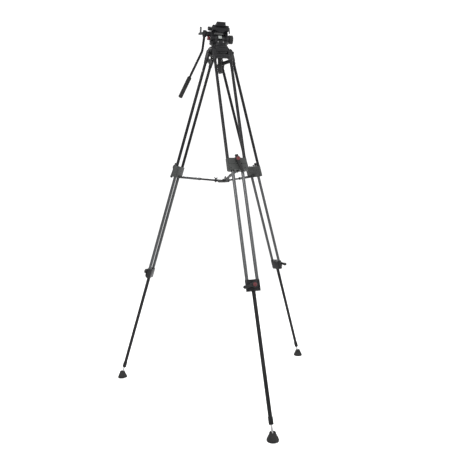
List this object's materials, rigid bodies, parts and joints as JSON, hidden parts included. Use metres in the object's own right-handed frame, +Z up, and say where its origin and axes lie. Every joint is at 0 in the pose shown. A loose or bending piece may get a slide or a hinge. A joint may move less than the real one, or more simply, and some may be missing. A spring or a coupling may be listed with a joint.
{
  "type": "video tripod with fluid head",
  "caption": "Twin-tube telescoping tripod with a mid-level spreader, ball-levelling bowl, fluid pan and tilt head, sliding camera plate and a bent pan handle",
  "frame": {"origin": "on the floor, at the middle of the box round the standing tripod; the tripod's axis stands 141.2 mm behind it", "axes": "+Z up along the tripod's height, -Y towards the front leg and the face of the head, +X to the right seen from the front"},
  "size_m": [1.024, 0.893, 1.7085],
  "materials": {
    "black_paint": "satin",
    "black_anodised": "anodised satin",
    "grey_anodised": "anodised satin",
    "casting_grey": "matte textured",
    "steel": "brushed",
    "red_plastic": "semi-gloss",
    "black_plastic": "matte moulded",
    "rubber": "matte",
    "level_glass": "clear"
  },
  "bodies": {
    "crown": {"crown": "black_paint", "hinge_bolts": "black_anodised"},
    "leg_front": {"leg_yoke_front": "black_paint", "upper_tubes_front": "black_anodised", "mid_clamp_front": "casting_grey"},
    "mid_lever_front": {"mid_lever_front": "black_plastic"},
    "middle_front": {"middle_tubes_front": "grey_anodised", "lower_clamp_front": "casting_grey"},
    "lower_lever_front": {"lower_lever_front": "black_plastic"},
    "lower_front": {"lower_tube_front": "black_anodised", "ankle_front": "steel"},
    "pad_front": {"foot_pad_front": "rubber"},
    "arm_front": {"arm_sleeve_front": "grey_anodised"},
    "rod_front": {"arm_rod_front": "black_anodised"},
    "wing_front": {"arm_wing_front": "black_plastic"},
    "leg_right": {"leg_yoke_right": "black_paint", "upper_tubes_right": "black_anodised", "mid_clamp_right": "casting_grey"},
    "mid_lever_right": {"mid_lever_right": "black_plastic"},
    "middle_right": {"middle_tubes_right": "grey_anodised", "lower_clamp_right": "casting_grey"},
    "lower_lever_right": {"lower_lever_right": "black_plastic"},
    "lower_right": {"lower_tube_right": "black_anodised", "ankle_right": "steel"},
    "pad_right": {"foot_pad_right": "rubber"},
    "arm_right": {"arm_sleeve_right": "grey_anodised"},
    "rod_right": {"arm_rod_right": "black_anodised"},
    "wing_right": {"arm_wing_right": "black_plastic"},
    "leg_left": {"leg_yoke_left": "black_paint", "upper_tubes_left": "black_anodised", "mid_clamp_left": "casting_grey"},
    "mid_lever_left": {"mid_lever_left": "black_plastic"},
    "middle_left": {"middle_tubes_left": "grey_anodised", "lower_clamp_left": "casting_grey"},
    "lower_lever_left": {"lower_lever_left": "black_plastic"},
    "lower_left": {"lower_tube_left": "black_anodised", "ankle_left": "steel"},
    "pad_left": {"foot_pad_left": "rubber"},
    "arm_left": {"arm_sleeve_left": "grey_anodised"},
    "rod_left": {"arm_rod_left": "black_anodised"},
    "wing_left": {"arm_wing_left": "black_plastic"},
    "hub": {"spreader_hub": "casting_grey"},
    "clamp_washer": {"clamp_washer": "casting_grey"},
    "ball": {"leveling_ball": "black_anodised"},
    "tie_handle": {"tie_down_handle": "black_plastic"},
    "pan": {"pan_housing": "black_paint", "level_window": "level_glass", "tilt_axle": "steel"},
    "pan_lock": {"pan_lock_knob": "black_plastic"},
    "tilt_lock": {"tilt_lock_knob": "red_plastic"},
    "counterbalance": {"counterbalance_knob": "black_plastic"},
    "tilt": {"tilt_cradle": "black_paint"},
    "plate": {"camera_plate": "black_anodised"},
    "screw": {"camera_screw": "steel"},
    "plate_lock": {"plate_lock_knob": "black_plastic"},
    "release": {"plate_release_lever": "grey_anodised"},
    "handle": {"handle_clamp": "black_paint", "handle_tube": "black_anodised", "handle_grip": "rubber"},
    "wing_nut": {"handle_wing": "grey_anodised"}
  },
  "joints": [
    {"name": "leg_fold_front", "type": "hinge", "parent": "crown", "child": "leg_front", "pos_m": [0, 0.09916, 1.5766], "axis": [1, 0, 0], "range_deg": [0, 13]},
    {"name": "mid_lever_turn_front", "type": "hinge", "parent": "leg_front", "child": "mid_lever_front", "pos_m": [0, -0.09377, 1.05382], "axis": [0, -0.948, 0.3183], "range_deg": [0, 90]},
    {"name": "middle_slide_front", "type": "slide", "parent": "leg_front", "child": "middle_front", "axis": [0, 0.3183, 0.948], "range_m": [0, 0.46]},
    {"name": "lower_lever_turn_front", "type": "hinge", "parent": "middle_front", "child": "lower_lever_front", "pos_m": [0, -0.26375, 0.54443], "axis": [0, -0.948, 0.3183], "range_deg": [0, 90]},
    {"name": "lower_slide_front", "type": "slide", "parent": "middle_front", "child": "lower_front", "axis": [0, 0.3183, 0.948], "range_m": [0, 0.44]},
    {"name": "ankle_tilt_front", "type": "hinge", "parent": "lower_front", "child": "pad_front", "pos_m": [0, -0.42348, 0.02], "axis": [1, 0, 0], "range_deg": [-42, 5]},
    {"name": "arm_hinge_front", "type": "hinge", "parent": "leg_front", "child": "arm_front", "pos_m": [0, -0.06716, 1.00585], "axis": [1, 0, 0], "range_deg": [-67.3, 0]},
    {"name": "arm_slide_front", "type": "slide", "parent": "arm_front", "child": "rod_front", "axis": [0, -0.9915, 0.1302], "range_m": [0, 0.07245]},
    {"name": "wing_turn_front", "type": "hinge", "parent": "rod_front", "child": "wing_front", "pos_m": [0, 0.10432, 0.98333], "axis": [0, 0.1302, 0.9915], "range_deg": [0, 180]},
    {"name": "leg_fold_right", "type": "hinge", "parent": "crown", "child": "leg_right", "pos_m": [0.03637, 0.16216, 1.5766], "axis": [-0.5, 0.866, 0], "range_deg": [0, 13]},
    {"name": "mid_lever_turn_right", "type": "hinge", "parent": "leg_right", "child": "mid_lever_right", "pos_m": [0.20346, 0.25863, 1.05382], "axis": [0.821, 0.474, 0.3183], "range_deg": [0, 90]},
    {"name": "middle_slide_right", "type": "slide", "parent": "leg_right", "child": "middle_right", "axis": [-0.2757, -0.1591, 0.948], "range_m": [0, 0.46]},
    {"name": "lower_lever_turn_right", "type": "hinge", "parent": "middle_right", "child": "lower_lever_right", "pos_m": [0.35066, 0.34362, 0.54443], "axis": [0.821, 0.474, 0.3183], "range_deg": [0, 90]},
    {"name": "lower_slide_right", "type": "slide", "parent": "middle_right", "child": "lower_right", "axis": [-0.2757, -0.1591, 0.948], "range_m": [0, 0.44]},
    {"name": "ankle_tilt_right", "type": "hinge", "parent": "lower_right", "child": "pad_right", "pos_m": [0.489, 0.42348, 0.02], "axis": [-0.5, 0.866, 0], "range_deg": [-42, 5]},
    {"name": "arm_hinge_right", "type": "hinge", "parent": "leg_right", "child": "arm_right", "pos_m": [0.18041, 0.24532, 1.00585], "axis": [-0.5, 0.866, 0], "range_deg": [-67.3, 0]},
    {"name": "arm_slide_right", "type": "slide", "parent": "arm_right", "child": "rod_right", "axis": [0.8586, 0.4957, 0.1302], "range_m": [0, 0.07245]},
    {"name": "wing_turn_right", "type": "hinge", "parent": "rod_right", "child": "wing_right", "pos_m": [0.0319, 0.15958, 0.98333], "axis": [-0.1128, -0.0651, 0.9915], "range_deg": [0, 180]},
    {"name": "leg_fold_left", "type": "hinge", "parent": "crown", "child": "leg_left", "pos_m": [-0.03637, 0.16216, 1.5766], "axis": [-0.5, -0.866, 0], "range_deg": [0, 13]},
    {"name": "mid_lever_turn_left", "type": "hinge", "parent": "leg_left", "child": "mid_lever_left", "pos_m": [-0.20346, 0.25863, 1.05382], "axis": [-0.821, 0.474, 0.3183], "range_deg": [0, 90]},
    {"name": "middle_slide_left", "type": "slide", "parent": "leg_left", "child": "middle_left", "axis": [0.2757, -0.1591, 0.948], "range_m": [0, 0.46]},
    {"name": "lower_lever_turn_left", "type": "hinge", "parent": "middle_left", "child": "lower_lever_left", "pos_m": [-0.35066, 0.34362, 0.54443], "axis": [-0.821, 0.474, 0.3183], "range_deg": [0, 90]},
    {"name": "lower_slide_left", "type": "slide", "parent": "middle_left", "child": "lower_left", "axis": [0.2757, -0.1591, 0.948], "range_m": [0, 0.44]},
    {"name": "ankle_tilt_left", "type": "hinge", "parent": "lower_left", "child": "pad_left", "pos_m": [-0.489, 0.42348, 0.02], "axis": [-0.5, -0.866, 0], "range_deg": [-42, 5]},
    {"name": "arm_hinge_left", "type": "hinge", "parent": "leg_left", "child": "arm_left", "pos_m": [-0.18041, 0.24532, 1.00585], "axis": [-0.5, -0.866, 0], "range_deg": [-67.3, 0]},
    {"name": "arm_slide_left", "type": "slide", "parent": "arm_left", "child": "rod_left", "axis": [-0.8586, 0.4957, 0.1302], "range_m": [0, 0.07245]},
    {"name": "wing_turn_left", "type": "hinge", "parent": "rod_left", "child": "wing_left", "pos_m": [-0.0319, 0.15958, 0.98333], "axis": [0.1128, -0.0651, 0.9915], "range_deg": [0, 180]},
    {"name": "hub_hinge", "type": "hinge", "parent": "rod_front", "child": "hub", "pos_m": [0, 0.12316, 0.98086], "axis": [1, 0, 0], "range_deg": [0, 54.3]},
    {"name": "level_front_back", "type": "hinge", "parent": "crown", "child": "clamp_washer", "pos_m": [0, 0.14116, 1.605], "axis": [1, 0, 0], "range_deg": [-8, 8]},
    {"name": "level_left_right", "type": "hinge", "parent": "clamp_washer", "child": "ball", "pos_m": [0, 0.14116, 1.605], "axis": [0, 1, 0], "range_deg": [-8, 8]},
    {"name": "tie_down", "type": "hinge", "parent": "ball", "child": "tie_handle", "pos_m": [0, 0.14116, 1.545], "axis": [0, 0, 1], "continuous": true},
    {"name": "pan", "type": "hinge", "parent": "ball", "child": "pan", "pos_m": [0, 0.14116, 1.613], "axis": [0, 0, 1], "continuous": true},
    {"name": "tilt", "type": "hinge", "parent": "pan", "child": "tilt", "pos_m": [0, 0.14116, 1.644], "axis": [1, 0, 0], "range_deg": [-45, 55]},
    {"name": "pan_lock", "type": "hinge", "parent": "pan", "child": "pan_lock", "pos_m": [0, 0.17216, 1.6225], "axis": [0, 1, 0], "range_deg": [0, 180]},
    {"name": "tilt_lock", "type": "hinge", "parent": "pan", "child": "tilt_lock", "pos_m": [-0.05, 0.14116, 1.644], "axis": [1, 0, 0], "range_deg": [0, 270]},
    {"name": "counterbalance", "type": "hinge", "parent": "pan", "child": "counterbalance", "pos_m": [0.056, 0.14116, 1.644], "axis": [1, 0, 0], "range_deg": [0, 300]},
    {"name": "plate_slide", "type": "slide", "parent": "tilt", "child": "plate", "axis": [0, 1, 0], "range_m": [-0.03, 0.03]},
    {"name": "screw_turn", "type": "hinge", "parent": "plate", "child": "screw", "pos_m": [0, 0.14116, 1.692], "axis": [0, 0, 1], "continuous": true},
    {"name": "plate_lock_turn", "type": "hinge", "parent": "tilt", "child": "plate_lock", "pos_m": [-0.047, 0.12516, 1.683], "axis": [1, 0, 0], "range_deg": [0, 270]},
    {"name": "plate_release", "type": "hinge", "parent": "tilt", "child": "release", "pos_m": [0.041, 0.11216, 1.683], "axis": [1, 0, 0], "range_deg": [-40, 0]},
    {"name": "handle_angle", "type": "hinge", "parent": "tilt", "child": "handle", "pos_m": [-0.058, 0.14116, 1.664], "axis": [1, 0, 0], "range_deg": [-20, 90]},
    {"name": "handle_wing_turn", "type": "hinge", "parent": "handle", "child": "wing_nut", "pos_m": [-0.085, 0.14116, 1.664], "axis": [1, 0, 0], "range_deg": [0, 180]}
  ],
  "couplings": [
    {"joint": "arm_hinge_front", "follows": "leg_fold_front", "ratio": -5.1382},
    {"joint": "arm_slide_front", "follows": "leg_fold_front", "m_per_rad": 0.31712},
    {"joint": "leg_fold_right", "follows": "leg_fold_front", "ratio": 1},
    {"joint": "arm_hinge_right", "follows": "leg_fold_front", "ratio": -5.1382},
    {"joint": "arm_slide_right", "follows": "leg_fold_front", "m_per_rad": 0.31712},
    {"joint": "leg_fold_left", "follows": "leg_fold_front", "ratio": 1},
    {"joint": "arm_hinge_left", "follows": "leg_fold_front", "ratio": -5.1382},
    {"joint": "arm_slide_left", "follows": "leg_fold_front", "m_per_rad": 0.31712},
    {"joint": "hub_hinge", "follows": "leg_fold_front", "ratio": 4.1382}
  ]
}
